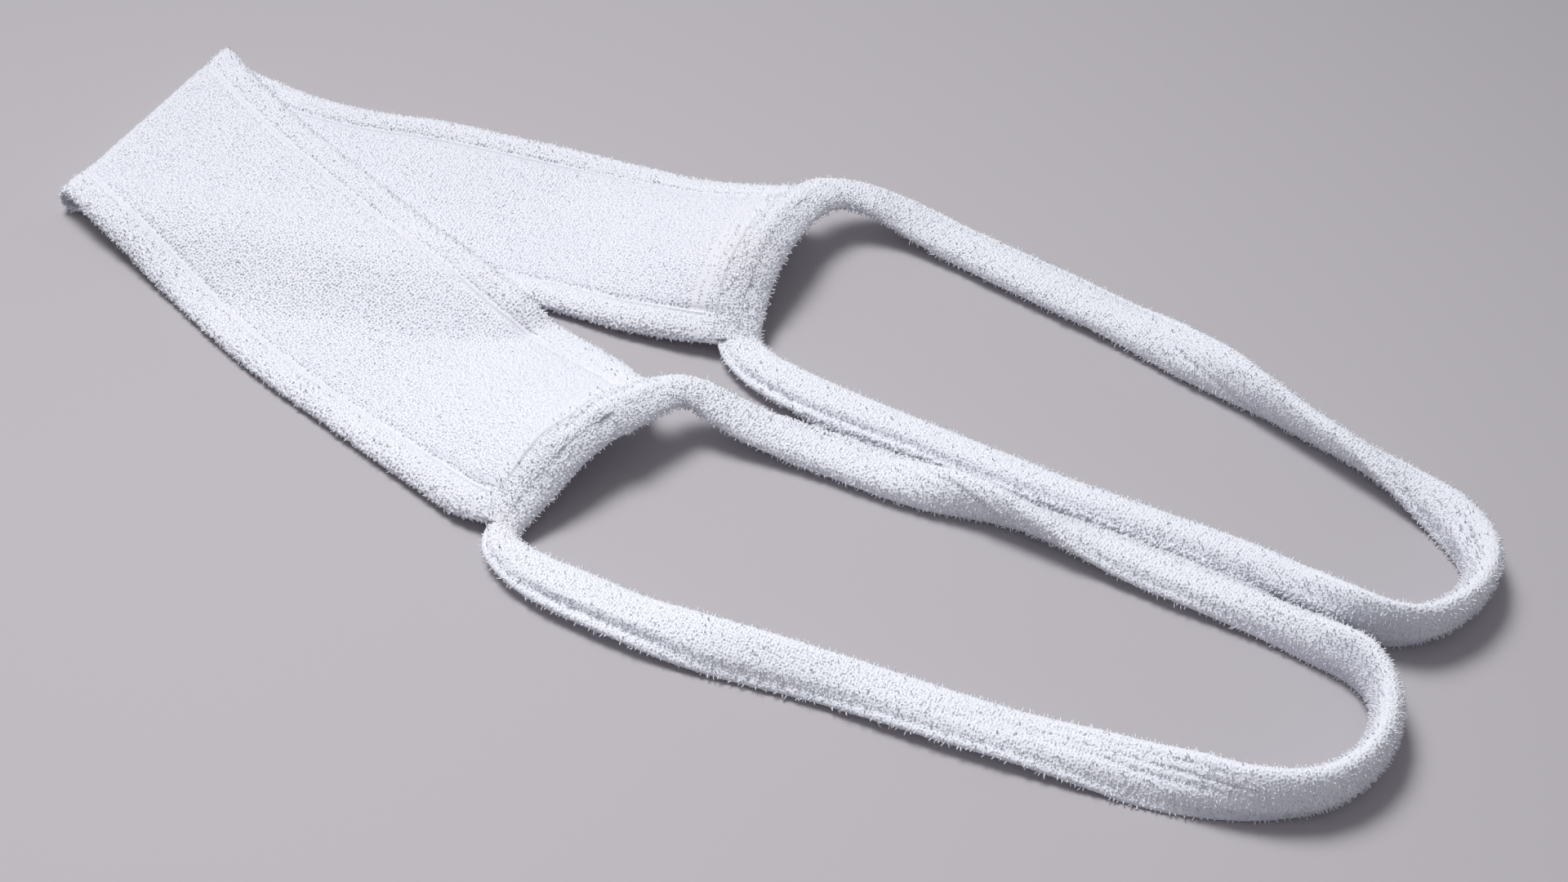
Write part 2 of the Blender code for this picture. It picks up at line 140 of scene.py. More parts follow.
rearLoop = (
    # x, y, under, width, thick, roll
    (0.0, 20.5, 1.2, 20.0, 8.5, 4.0),
    (-5.0, 31.0, 6.0, 20.5, 8.5, 14.0),
    (-8.5, 43.0, 11.0, 21.0, 8.5, 22.0),
    (-10.5, 56.0, 14.5, 21.0, 8.5, 26.0),
    (-12.0, 69.0, 16.0, 21.0, 8.5, 26.0),
    (-13.0, 82.0, 15.5, 21.0, 8.5, 23.0),
    (-13.0, 95.0, 14.0, 20.5, 8.5, 17.0),
    (-10.0, 106.0, 12.5, 20.0, 9.0, 10.0),
    (-3.0, 113.5, 10.5, 19.5, 9.0, 4.0),
    (7.0, 117.5, 8.0, 20.5, 9.0, 0.0),
    (17.0, 119.5, 5.0, 22.0, 9.0, 0.0),
    (29.0, 119.8, 2.2, 23.5, 9.0, 0.0),
    (46.0, 118.5, 0.3, 24.0, 9.5, 0.0),
    (71.0, 115.5, 0.0, 25.0, 9.5, 0.0),
    (95.0, 112.5, 0.0, 25.5, 9.5, 0.0),
    (120.0, 109.0, 0.0, 25.0, 9.5, 0.0),
    (140.0, 105.0, 0.0, 24.0, 10.0, 12.0),
    (158.0, 99.8, 0.0, 22.5, 11.0, 28.0),
    (174.0, 95.4, 0.0, 20.5, 12.0, 48.0),
    (189.0, 91.2, 0.0, 18.5, 13.0, 72.0),
    (206.0, 86.6, 0.0, 17.0, 13.0, 100.0),
    (227.0, 81.3, 0.0, 18.5, 12.5, 132.0),
    (249.0, 76.5, 0.0, 20.5, 11.5, 164.0),
    (267.0, 70.5, 0.0, 21.5, 11.0, 194.0),
    (282.0, 60.0, 0.0, 21.5, 11.0, 220.0),
    (292.0, 47.0, 0.0, 21.5, 11.5, 237.0),
    (295.0, 32.5, 0.0, 21.5, 12.0, 248.0),
    (292.5, 18.5, 0.0, 21.5, 12.0, 256.0),
    (286.0, 7.0, 0.0, 22.0, 11.0, 263.0),
    (276.0, 0.5, 0.0, 23.0, 9.5, 272.0),
    (262.0, 0.0, 0.0, 22.0, 9.5, 288.0),
    (246.0, 3.4, 0.0, 20.0, 10.0, 312.0),
    (228.0, 7.0, 0.0, 19.0, 10.5, 338.0),
    (209.0, 8.8, 0.0, 19.0, 10.5, 354.0),
    (190.0, 8.8, 0.0, 19.0, 10.5, 360.0),
    (168.0, 8.2, 0.0, 18.5, 10.5, 360.0),
    (147.0, 7.6, 0.0, 18.0, 10.5, 360.0),
    (125.0, 7.4, 0.0, 19.5, 10.0, 360.0),
    (99.0, 7.6, 0.0, 21.0, 9.5, 360.0),
    (73.0, 7.6, 0.0, 22.0, 9.5, 360.0),
    (47.0, 8.0, 0.0, 23.0, 9.5, 360.0),
    (27.0, 9.5, 0.2, 23.0, 9.5, 360.0),
    (12.0, 13.0, 0.6, 21.0, 9.0, 360.0),
)

tapeProfile = (
    # across, up
    (1.0, 0.0),
    (0.93, 0.24),
    (0.74, 0.30),
    (0.58, 0.66),
    (0.32, 0.95),
    (-0.10, 1.0),
    (-0.50, 0.93),
    (-0.84, 0.62),
    (-1.0, 0.0),
    (-0.84, -0.62),
    (-0.50, -0.93),
    (-0.10, -1.0),
    (0.32, -1.0),
    (0.58, -0.72),
    (0.74, -0.36),
    (0.93, -0.24),
)

strip = {
    "sheetHalf": 2.5,        # half the body thickness, pile included
    "endGap": -1.2,          # the bound end runs into the handle's pile
    "endTuck": 3.5,
    "endPoints": 60,
    "foldSteps": 5,
    "overHem": 7.8,
    "overBody": 6.2,
    "drapePlaces": (-38.0, -1.5),    # in from the lower half's near edge: off the floor, on its hem
    "bodyPlaces": (12.0, 24.0),      # and down from hem to body
    "drapeEndX": (-88.0, -62.0),
    "edgeSlant": 0.97,
    "drapeJoin": 0.8,
    "widthMean": 104.0,
    "rowsAlong": 300,
    "edgeInset": 1.5,        # the woven ground lies this far under the solid's face
    "bodyInset": 0.7,
    "leastHalf": 0.3,
    "hemWidth": 14.0,
    "hemBlend": (-4.0, -1.0),        # from the seam, towards the body
    "seamRise": 0.45,
    "seamHalf": 0.6,
    "seamDent": 0.7,
    "seamDents": ((-1.4, 0.8), (1.4, 0.9)),    # place beside the seam, half width
    "topPuffRows": (-0.5, 4.0),      # rows past the fold, where hems and seams begin or end
    "underPuffRows": (-4.6, -3.2),
    "topSeamRows": (-2.5, -0.5),
    "underSeamRows": (-4.0, -3.0),
    "columnInsets": (1.5, 2.1, 2.9, 4.0, 5.4, 7.0, 8.7, 10.2, 11.4, 12.3, 12.9, 13.4, 13.8, 14.2,
                     14.7, 15.3, 16.2, 17.6, 19.8, 23.0, 27.0, 31.5, 36.0, 40.5, 45.0, 49.5),
    "edgeSteps": 4,
    "edgeRound": 0.8,
    "lapReach": 11.0,        # the handle's cloth laps this far onto the strip and is sewn there
    "lapDent": 0.25,
    "lapDentPast": 1.0,
    "lapDentHalf": 1.1,
}
tape = {
    "sections": 400,
    "around": 42,
    "pathSteps": 40,         # steps a row when a path is measured
    "profileSteps": 20,
    "profileHalves": (12.0, 4.8),    # a common section's half width and half thickness
    "headingStep": 0.02,
    "inset": 1.35,
    "wall": 0.8,
    "leastHalf": 1.0,
    "fillRatios": (0.5, 0.72),
    "groundHeight": 0.3,     # the woven ground's lowest point where its pile rests on the floor
    "restHeights": (1.5, 2.6),    # lowest points under the first rest, past the second they hang
    "settleReach": 6.0,
    "creaseFade": 0.02,
    "pleatFade": 0.08,
    "frontBound": (0.0, 7.2),
    "rearBound": (0.0, 6.6),
}


def unit(vectors):
    return vectors / np.maximum(np.linalg.norm(vectors, axis=-1), 1e-9)[..., None]


def smoothStep(value, low, high):
    part = np.clip((value - low) / (high - low), 0.0, 1.0)
    return part * part * (3.0 - 2.0 * part)


def bell(value, centre, half):
    return np.exp(-((value - centre) / half) ** 2)


def runAlong(points):    # how far along a line of points each of them is
    steps = np.linalg.norm(np.diff(points, axis=0), axis=1)
    return np.concatenate(([0.0], np.cumsum(steps)))


def cubicBetween(part, start, end, slopeStart, slopeEnd):
    square = part * part
    cube = square * part
    return ((2 * cube - 3 * square + 1) * start + (cube - 2 * square + part) * slopeStart
            + (3 * square - 2 * cube) * end + (cube - square) * slopeEnd)


def smoothRows(rows, closed, places):    # cubic through the rows, read at row numbers
    rows = np.asarray(rows, float)
    count = len(rows)
    places = np.asarray(places, float)
    base = np.floor(places).astype(int)
    if closed:
        picks = [(base + shift) % count for shift in (-1, 0, 1, 2)]
    else:
        base = np.clip(base, 0, count - 2)
        picks = [np.clip(base + shift, 0, count - 1) for shift in (-1, 0, 1, 2)]
    before, start, end, after = knots = [rows[pick] for pick in picks]
    gaps = [np.maximum(np.linalg.norm((second - first)[:, :2], axis=1), 1e-6)[:, None]
            for first, second in zip(knots, knots[1:])]
    slopeStart = (end - before) * gaps[1] / (gaps[0] + gaps[1])
    slopeEnd = (after - start) * gaps[1] / (gaps[1] + gaps[2])
    return cubicBetween((places - base)[:, None], start, end, slopeStart, slopeEnd)


def evenPlaces(rows, count):    # row numbers that lie evenly round a closed path
    fine = np.linspace(0.0, len(rows), tape["pathSteps"] * len(rows) + 1)
    along = runAlong(smoothRows(rows, True, fine)[:, :2])
    return np.interp(np.linspace(0.0, along[-1], count + 1), along, fine)[:-1]


def loopTable(rows):    # a handle's rows, the roll as a direction so that it turns smoothly
    table = np.array(rows, float)
    turn = np.radians(table[:, 5])
    return np.column_stack((table[:, :5], np.cos(turn), np.sin(turn)))


def loopStations(rows, places):
    table = loopTable(rows)
    values = smoothRows(table, True, places)
    ahead = smoothRows(table, True, places + tape["headingStep"])[:, :3]
    behind = smoothRows(table, True, places - tape["headingStep"])[:, :3]
    heading = unit(ahead - behind)
    left = unit(np.column_stack((-heading[:, 1], heading[:, 0], np.zeros(len(heading)))))
    up = np.cross(heading, left)
    turn = np.arctan2(values[:, 6], values[:, 5])[:, None]
    side = np.cos(turn) * left + np.sin(turn) * up
    top = np.cos(turn) * up - np.sin(turn) * left
    centre = np.column_stack((values[:, 0], values[:, 1], np.zeros(len(values))))
    return centre, side, top, values[:, 3], values[:, 4], np.maximum(values[:, 2], 0.0)


def profileRing():    # the tape's section at even steps round it, starting at the lip
    fine = np.linspace(0.0, len(tapeProfile), tape["profileSteps"] * len(tapeProfile) + 1)
    ring = smoothRows(tapeProfile, True, fine)
    ring[-1] = tapeProfile[0]
    along = runAlong(ring * tape["profileHalves"])
    wanted = np.linspace(0.0, along[-1], tape["around"] + 1)
    return np.column_stack([np.interp(wanted, along, values) for values in ring.T])


tapeRing = profileRing()


def tapeSections(ring, width, thick):    # where the tape is thick its lip fills out and it rounds
    share = smoothStep(thick / width, *tape["fillRatios"])[:, None, None]
    return ring + share * (unit(ring) - ring)


def loopRings(rows, places, ring, inset):
    centre, side, top, width, thick, under = loopStations(rows, places)
    full = tapeSections(np.array(tapeProfile), width, thick)
    lowest = (side[:, None, 2] * full[:, :, 0] * width[:, None] / 2
              + top[:, None, 2] * full[:, :, 1] * thick[:, None] / 2).min(axis=1)
    centre[:, 2] = under - lowest
    halfWidth = np.maximum(width / 2 - inset, tape["leastHalf"])[:, None, None]
    halfThick = np.maximum(thick / 2 - inset, tape["leastHalf"])[:, None, None]
    section = tapeSections(ring, width, thick)
    points = (centre[:, None, :] + side[:, None, :] * section[:, :, 0, None] * halfWidth
              + top[:, None, :] * section[:, :, 1, None] * halfThick)
    return points, centre


def boundEdge(rows, boundRows, count):    # the line inside a handle where the strip's end is bound
    places = np.linspace(*boundRows, count)
    rings, centre = loopRings(rows, places, np.array(tapeProfile), 0.0)
    left = loopStations(rows, places)[1]
    left[:, 2] = 0.0
    left = unit(left)
    reach = ((rings - centre[:, None, :]) * left[:, None, :]).sum(axis=2).max(axis=1)
    line = centre + left * (reach + strip["endGap"])[:, None]
    line[:, 2] = rings[:, 0, 2] - strip["endTuck"] * smoothStep(places, *boundRows)
    return line


def resampleLine(line, share):
    along = runAlong(line)
    return np.column_stack([np.interp(share * along[-1], along, values) for values in line.T])


def drapeHeight(x, y):    # of the upper half's underside over the lower half and beside it
    table = np.array(lowerHalf)[::-1]
    inside = (y - np.interp(x, table[:, 0], table[:, 1])) * strip["edgeSlant"]
    low, high = strip["drapePlaces"]
    rise = strip["overHem"] * (0.5 * smoothStep(inside, low, high)
                               + 0.5 * np.clip((inside - low) / (high - low), 0.0, 1.0))
    rise -= (strip["overHem"] - strip["overBody"]) * smoothStep(inside, *strip["bodyPlaces"])
    return rise * (1.0 - smoothStep(x, *strip["drapeEndX"]))


def stripRow(row, share, drapes):
    nearX, nearY, farX, farY, nearLift, middleLift, farLift = row
    x = nearX + (farX - nearX) * share
    y = nearY + (farY - nearY) * share
    bow = 4 * share * (1 - share)
    lift = nearLift * (1 - share) + farLift * share
    lift = lift + bow * (middleLift - (nearLift + farLift) / 2)
    if drapes:
        lift = np.maximum(lift, drapeHeight(x, y))
    return np.column_stack((x, y, lift + strip["sheetHalf"]))


def stripGrid(share, drapes):    # rows from the rear handle round the fold to the front handle
    rows = [resampleLine(boundEdge(rearLoop, tape["rearBound"], strip["endPoints"]), share)]
    rows += [stripRow(row, share, False) for row in lowerHalf]
    start = stripRow(lowerHalf[-1], share, False)
    finish = stripRow(upperHalf[0], share, True)
    for step in range(1, strip["foldSteps"] + 1):
        angle = math.pi * step / (strip["foldSteps"] + 1)
        arc = (start + finish) / 2
        half = (finish[:, 2] - start[:, 2]) / 2
        arc[:, 0] -= np.sin(angle) * half
        arc[:, 2] -= np.cos(angle) * half
        rows.append(arc)
    rows.append(finish)
    rows += [stripRow(row, share, drapes) for row in upperHalf[1:]]
    rows.append(resampleLine(boundEdge(frontLoop, tape["frontBound"], strip["endPoints"]), share))
    return np.array(rows)


def stripColumns():    # places across the strip as shares of its width, closer at hems and seams
    near = np.array(strip["columnInsets"]) / strip["widthMean"]
    return np.concatenate((near, 1 - near[::-1]))


def stripSurface(share):    # the middle of the cloth, the row numbers it is read at, its length
    grid = stripGrid(share, True)
    plainGrid = stripGrid(share, False)
    along = runAlong(grid[:, len(share) // 2])
    wanted = np.linspace(0.0, along[-1], strip["rowsAlong"])
    places = np.interp(wanted, along, np.arange(len(along)))
    pastFold = len(lowerHalf) + strip["foldSteps"] + 1
    join = smoothStep(places, pastFold, pastFold + strip["drapeJoin"])
    surface = np.zeros((len(places), len(share), 3))
    for column in range(len(share)):
        surface[:, column] = smoothRows(grid[:, column], False, places)
        plain = smoothRows(plainGrid[:, column], False, places)[:, 2]
        rise = drapeHeight(surface[:, column, 0], surface[:, column, 1]) + strip["sheetHalf"]
        surface[:, column, 2] += join * (np.maximum(plain, rise) - surface[:, column, 2])
    surface[:, :, 2] = np.maximum(surface[:, :, 2], strip["sheetHalf"])
    return surface, places, along[-1]


def roundEdge(fromFace, toFace, surface, column, beside):    # one long edge, from face to face
    edgeMiddle = (fromFace[:, column] + toFace[:, column]) / 2
    start = fromFace[:, column] - edgeMiddle
    out = unit(surface[:, column] - surface[:, beside]) * strip["edgeRound"]
    turns = np.linspace(0, math.pi, strip["edgeSteps"] + 2)[1:-1]
    return np.stack([edgeMiddle + start * np.cos(angle) + out * np.sin(angle)
                     for angle in turns], axis=1)


def stripShell():    # the strip's woven ground as rings of points round its section
    share = stripColumns()
    surface, places, length = stripSurface(share)
    normal = unit(np.cross(np.gradient(surface, axis=0), np.gradient(surface, axis=1)))
    profile = np.array(edgeProfile)
    fromEdge = np.minimum(share, 1 - share) * strip["widthMean"]
    fromSeam = fromEdge - strip["hemWidth"]
    hem = 1 - smoothStep(fromSeam, *strip["hemBlend"])
    inset = strip["bodyInset"] + (strip["edgeInset"] - strip["bodyInset"]) * hem
    seam = strip["seamRise"] * bell(fromSeam, 0.0, strip["seamHalf"])
    for beside, half in strip["seamDents"]:
        seam = seam - strip["seamDent"] * bell(fromSeam, beside, half)
    puffed = np.interp(fromEdge, profile[:, 0], profile[:, 1])
    plain = np.interp(fromEdge, profile[:, 0], profile[:, 2])
    foldRow = len(lowerHalf) + strip["foldSteps"] // 2 + 1
    fromFold = (places - foldRow)[:, None]
    topPuff = smoothStep(fromFold, *strip["topPuffRows"])
    underPuff = 1 - smoothStep(fromFold, *strip["underPuffRows"])
    topSeam = smoothStep(fromFold, *strip["topSeamRows"])
    underSeam = 1 - smoothStep(fromFold, *strip["underSeamRows"])
    run = np.linspace(0.0, length, len(places))
    lapEdge = bell(run[:, None], strip["lapReach"] + strip["lapDentPast"], strip["lapDentHalf"])
    outer = topPuff * puffed + (1 - topPuff) * plain - inset + seam * topSeam
    inner = (underPuff * puffed + (1 - underPuff) * plain - inset + seam * underSeam
             - strip["lapDent"] * lapEdge)
    outerFace = surface + normal * np.maximum(outer, strip["leastHalf"])[:, :, None]
    innerFace = surface - normal * np.maximum(inner, strip["leastHalf"])[:, :, None]
    farEdge = roundEdge(outerFace, innerFace, surface, -1, -2)
    nearEdge = roundEdge(innerFace, outerFace, surface, 0, 1)
    parts = (outerFace, farEdge, innerFace[:, ::-1], nearEdge, outerFace[:, :1])
    ring = np.concatenate(parts, axis=1)
    edge = np.zeros(strip["edgeSteps"])
    ringEdge = np.concatenate((fromEdge, edge, fromEdge[::-1], edge, fromEdge[:1]))
    ringFace = np.concatenate((np.ones(len(share)), edge, -np.ones(len(share)), edge, [1.0]))
    ringEnd = np.minimum(run, length - run)
    return ring, ringEdge, ringFace, ringEnd, places, foldRow


def hexColour(code):    # sRGB hex to linear
    channels = [int(code[start:start + 2], 16) / 255 for start in (0, 2, 4)]
    linear = [c / 12.92 if c <= 0.04045 else ((c + 0.055) / 1.055) ** 2.4 for c in channels]
    return (*linear, 1.0)


def addNode(tree, kind, settings=None, links=None, values=None):
    node = tree.nodes.new(kind)
    for name, value in (settings or {}).items():
        setattr(node, name, value)
    for name, value in (values or {}).items():
        node.inputs[name].default_value = value
    for name, output in (links or {}).items():
        tree.links.new(output, node.inputs[name])
    return node


def newMaterial(name, finish):
    material = bpy.data.materials.new(name)
    material.use_nodes = True
    shader = material.node_tree.nodes["Principled BSDF"]
    for socket, value in finish.items():
        shader.inputs[socket].default_value = value
    return material, material.node_tree, shader


def addItem(name, data):
    item = bpy.data.objects.new(name, data)
    bpy.context.scene.collection.objects.link(item)
    return item


def clothSheet(name, points, closed, material):    # a skin over rows of points
    rows, columns = points.shape[:2]
    mesh = bmesh.new()
    layer = mesh.loops.layers.uv.new("clothMap")
    bmesh.ops.create_grid(mesh, x_segments=columns - 1, y_segments=rows - 1, size=1.0)
    mesh.verts.ensure_lookup_table()
    flat = np.array([corner.co[:2] for corner in mesh.verts])
    column = np.rint((flat[:, 0] + 1) / 2 * (columns - 1)).astype(int)
    row = np.rint((flat[:, 1] + 1) / 2 * (rows - 1)).astype(int)
    placed = (points[row, column] - middle) * millimetre
    for face in mesh.faces:
        face.smooth = True
        for corner in face.loops:
            corner[layer].uv = ((corner.vert.co.x + 1) / 2, (corner.vert.co.y + 1) / 2)
    for corner, place in zip(mesh.verts, placed):
        corner.co = place
    if closed:
        bmesh.ops.remove_doubles(mesh, verts=mesh.verts, dist=0.02 * millimetre)
    bmesh.ops.recalc_face_normals(mesh, faces=mesh.faces)
    data = bpy.data.meshes.new(name)
    mesh.to_mesh(data)
    mesh.free()
    data.materials.append(material)
    return addItem(name, data)


def closeEnds(item):    # caps the two bound ends of the strip
    mesh = bmesh.new()
    mesh.from_mesh(item.data)
    bmesh.ops.holes_fill(mesh, edges=mesh.edges, sides=0)
    bmesh.ops.recalc_face_normals(mesh, faces=mesh.faces)
    mesh.to_mesh(item.data)
    mesh.free()


def addWall(item, wall):    # the woven ground's thickness, inwards from the skin
    thickness = item.modifiers.new("wall", "SOLIDIFY")
    thickness.thickness = wall * millimetre
    thickness.offset = -1.0


weave = {
    "finish": {"Roughness": 0.95, "Sheen Weight": 0.6, "Sheen Roughness": 0.6,
               "Specular IOR Level": 0.15},
    "cloud": 38.0,           # millimetres from one faint light patch to the next
    "grainShare": 0.6,
    "shadeStart": 0.55,
    "bumpStrength": 0.5,
    "bump": 0.6,
}
yarn = {
    "finish": {"Roughness": 0.9, "Sheen Weight": 0.7, "Sheen Roughness": 0.5,
               "Specular IOR Level": 0.2},
    "tipStart": 0.8,
    "tint": "F3E8E1",        # a faint warm tint where the cloth is handled most
    "tintShare": 0.22,
    "tintSpots": (((-0.0245, -0.1075, 0.006), 0.012), ((-0.023, 0.052, 0.022), 0.022)),
}


def terryCloth(name, colour, shadeColour, grain):
    # Cotton terry ground under the pile: matt white, soft sheen, a fine uneven weave.
    material, tree, shader = newMaterial(name, weave["finish"])
    place = addNode(tree, "ShaderNodeTexCoord").outputs["Object"]
    grains = addNode(tree, "ShaderNodeTexNoise", links={"Vector": place},
                     values={"Scale": 1 / (grain * millimetre), "Detail": 3.0, "Roughness": 0.6})
    clouds = addNode(tree, "ShaderNodeTexNoise", links={"Vector": place},
                     values={"Scale": 1 / (weave["cloud"] * millimetre), "Detail": 2.0})
    both = addNode(tree, "ShaderNodeMath", {"operation": "MULTIPLY_ADD"},
                   {0: grains.outputs["Fac"], 2: clouds.outputs["Fac"]}, {1: weave["grainShare"]})
    ramp = addNode(tree, "ShaderNodeValToRGB", links={"Fac": both.outputs[0]})
    ramp.color_ramp.elements[0].position = weave["shadeStart"]
    ramp.color_ramp.elements[0].color = hexColour(shadeColour)
    ramp.color_ramp.elements[1].color = hexColour(colour)
    tree.links.new(ramp.outputs["Color"], shader.inputs["Base Color"])
    bump = addNode(tree, "ShaderNodeBump", links={"Height": grains.outputs["Fac"]},
                   values={"Strength": weave["bumpStrength"],
                           "Distance": weave["bump"] * millimetre})
    tree.links.new(bump.outputs["Normal"], shader.inputs["Normal"])
    return material


def terryPile(name, tipColour, rootShadeColour):
    # Cotton loop pile: soft twisted yarn ends, coloured darker towards the root as painted shade
    # between the yarns and brighter at the tip.
    material, tree, shader = newMaterial(name, yarn["finish"])
    # painted shade: each yarn end's root-to-tip value picks the darker colour at the root
    heights = addNode(tree, "ShaderNodeAttribute", {"attribute_name": "paintedRootShadeAndTone"})
    ramp = addNode(tree, "ShaderNodeValToRGB", links={"Fac": heights.outputs["Fac"]})
    ramp.color_ramp.elements[0].color = hexColour(rootShadeColour)
    ramp.color_ramp.elements[1].position = yarn["tipStart"]
    ramp.color_ramp.elements[1].color = hexColour(tipColour)
    colour = ramp.outputs["Color"]
    place = addNode(tree, "ShaderNodeTexCoord").outputs["Object"]
    for centre, reach in yarn["tintSpots"]:
        away = addNode(tree, "ShaderNodeVectorMath", {"operation": "DISTANCE"},
                       {0: place}, {1: centre})
        near = addNode(tree, "ShaderNodeMapRange", links={"Value": away.outputs["Value"]},
                       values={"From Min": 0.0, "From Max": reach,
                               "To Min": yarn["tintShare"], "To Max": 0.0})
        mix = addNode(tree, "ShaderNodeMix", {"data_type": "RGBA"},
                      {"Factor": near.outputs["Result"], "A": colour})
        mix.inputs["B"].default_value = hexColour(yarn["tint"])
        colour = mix.outputs["Result"]
    tree.links.new(colour, shader.inputs["Base Color"])
    return material


def makeYarnEnd(levels, pointed):    # one short yarn end, three-sided, standing on the origin
    mesh = bmesh.new()
    bmesh.ops.create_circle(mesh, segments=3, radius=1.0)
    ring = list(mesh.edges)
    for height, scale in levels:
        made = bmesh.ops.extrude_edge_only(mesh, edges=ring)["geom"]
        ring = [item for item in made if isinstance(item, bmesh.types.BMEdge)]
        for corner in [item for item in made if isinstance(item, bmesh.types.BMVert)]:
            side = Vector((corner.co.x, corner.co.y, 0)).normalized()
            corner.co = Vector((side.x * scale, side.y * scale, height))
    cap = bmesh.ops.contextual_create(mesh, geom=ring)["faces"]
    if pointed:
        tip = bmesh.ops.poke(mesh, faces=cap)["verts"][0]
        tip.co = Vector((0, 0, 1))
    bmesh.ops.triangulate(mesh, faces=mesh.faces)
    bmesh.ops.recalc_face_normals(mesh, faces=mesh.faces)
    mesh.verts.index_update()
    corners = np.array([corner.co for corner in mesh.verts])
    faces = np.array([[corner.index for corner in face.verts] for face in mesh.faces])
    mesh.free()
    first, second, third = (corners[faces[:, number]] for number in range(3))
    outward = corners[faces].mean(axis=1) - (0, 0, 0.4)    # from a point inside the yarn end
    if (np.cross(second - first, third - first) * outward).sum() < 0:
        faces = faces[:, ::-1]
    return corners, faces


nubYarn = makeYarnEnd(((1.0, 0.5),), False)    # levels: height, width
curlYarn = makeYarnEnd(((0.4, 1.05), (0.82, 0.9)), True)
pileField = {"faceLimit": 185000, "shadeSpread": (0.8, 1.15), "floorClear": 0.03}


def growPile(name, yarnEnd, roots, normals, tangents, heights, radii, leans, material):
    # A field of yarn ends, joined into meshes under the face limit.
    corners, faces = yarnEnd
    count = len(roots)
    across = unit(np.cross(normals, tangents))
    along = np.cross(across, normals)
    spin = chance.uniform(0, 2 * math.pi, count)
    first = np.cos(spin)[:, None] * along + np.sin(spin)[:, None] * across
    second = np.cross(normals, first)
    x, y, z = corners.T[:, None, :, None]
    height = heights[:, None, None]
    radius = radii[:, None, None]
    points = (roots[:, None] + first[:, None] * (x * radius) + second[:, None] * (y * radius)
              + normals[:, None] * (z * height) + leans[:, None] * (z ** 2 * height))
    points[:, :, 2] = np.maximum(points[:, :, 2], pileField["floorClear"])
    # painted shade: a value low at the root and high at the tip, with a random tone per yarn end
    paintedShade = np.clip(corners[:, 2] * chance.uniform(*pileField["shadeSpread"], count)[:, None], 0, 1)
    perPiece = pileField["faceLimit"] // len(faces)
    made = []
    for number, start in enumerate(range(0, count, perPiece)):
        part = points[start:start + perPiece]
        placed = ((part - middle) * millimetre).reshape(-1, 3)
        joined = (faces[None] + (np.arange(len(part)) * len(corners))[:, None, None]).reshape(-1, 3)
        data = bpy.data.meshes.new(f"{name}_{number + 1}")
        data.from_pydata(placed, [], joined)
        data.shade_smooth()
        layer = data.attributes.new("paintedRootShadeAndTone", "FLOAT", "POINT")
        paintedShades = paintedShade[start:start + perPiece].reshape(-1)
        layer.data.foreach_set("value", paintedShades.astype(np.float32))
        data.materials.append(material)
        item = addItem(data.name, data)
        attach(item, "root")
        made.append(item)
    print(name, count, "yarn ends,", count * len(faces), "triangles in", len(made), "pieces")
    return made


def readGrid(values, rows, columns):    # bilinear reading of an array at fractional places
    lowRow = np.clip(np.floor(rows).astype(int), 0, values.shape[0] - 2)
    lowColumn = np.clip(np.floor(columns).astype(int), 0, values.shape[1] - 2)
    a = (rows - lowRow)[:, None]
    b = (columns - lowColumn)[:, None]
    return ((1 - a) * (1 - b) * values[lowRow, lowColumn]
            + a * (1 - b) * values[lowRow + 1, lowColumn]
            + (1 - a) * b * values[lowRow, lowColumn + 1]
            + a * b * values[lowRow + 1, lowColumn + 1])


def closedStep(points):    # from the point before to the point after, the first repeated at the end
    return np.concatenate((points[1:], points[1:2])) - np.concatenate((points[-2:-1], points[:-1]))


def shellNormals(points, closedAlong):
    # Outward directions of a shell of rings, each ring's first point repeated at its end.
    along = closedStep(points) if closedAlong else np.gradient(points, axis=0)
    around = closedStep(points.swapaxes(0, 1)).swapaxes(0, 1)
    normal = unit(np.cross(around, along))
    middles = points[:, :-1].mean(axis=1)[:, None, :]
    if ((points - middles) * normal).sum(axis=2).mean() < 0:
        normal = -normal
    return normal, along


def sideShare(normals, topShare):    # 1 where the cloth faces sideways, down to a share on top
    return topShare + (1 - topShare) * (1 - normals[:, 2] ** 2)


def scatterOn(points, spacing, jitter):
    # Jittered places about a spacing apart over a grid of points, as fractional rows and columns.
    rowStep = np.linalg.norm(np.diff(points, axis=0), axis=2).mean(axis=1)
    rowAlong = np.concatenate(([0.0], np.cumsum(rowStep)))
    found = []
    for place in np.arange(spacing / 2, rowAlong[-1], spacing):
        row = np.interp(place, rowAlong, np.arange(len(rowAlong)))
        span = runAlong(readGrid(points, np.full(points.shape[1], row), np.arange(points.shape[1])))
        wanted = np.arange(chance.uniform(0, spacing), span[-1], spacing)
        wanted = wanted + chance.uniform(-jitter, jitter, len(wanted)) * spacing
        column = np.interp(np.clip(wanted, 0, span[-1]), span, np.arange(len(span)))
        rows = row + chance.uniform(-jitter, jitter, len(wanted)) * spacing / rowStep.mean()
        found.append(np.column_stack((np.clip(rows, 0, points.shape[0] - 1.001), column)))
    return np.concatenate(found)


panelGround = terryCloth("cotton_terry_strip_ground", "F3F4FC", "EFF0F9", 1.3)
handleGround = terryCloth("cotton_terry_handle_ground", "F4F6FF", "F2F4FD", 1.6)
# each pile's second colour is its painted shade at the yarn roots
panelPile = terryPile("cotton_terry_short_pile", "F0F2FC", "EDEFF9")
hemPile = terryPile("cotton_terry_hem_pile", "F5F7FF", "F4F5FF")
handlePile = terryPile("cotton_terry_long_pile", "F5F7FF", "F4F5FF")

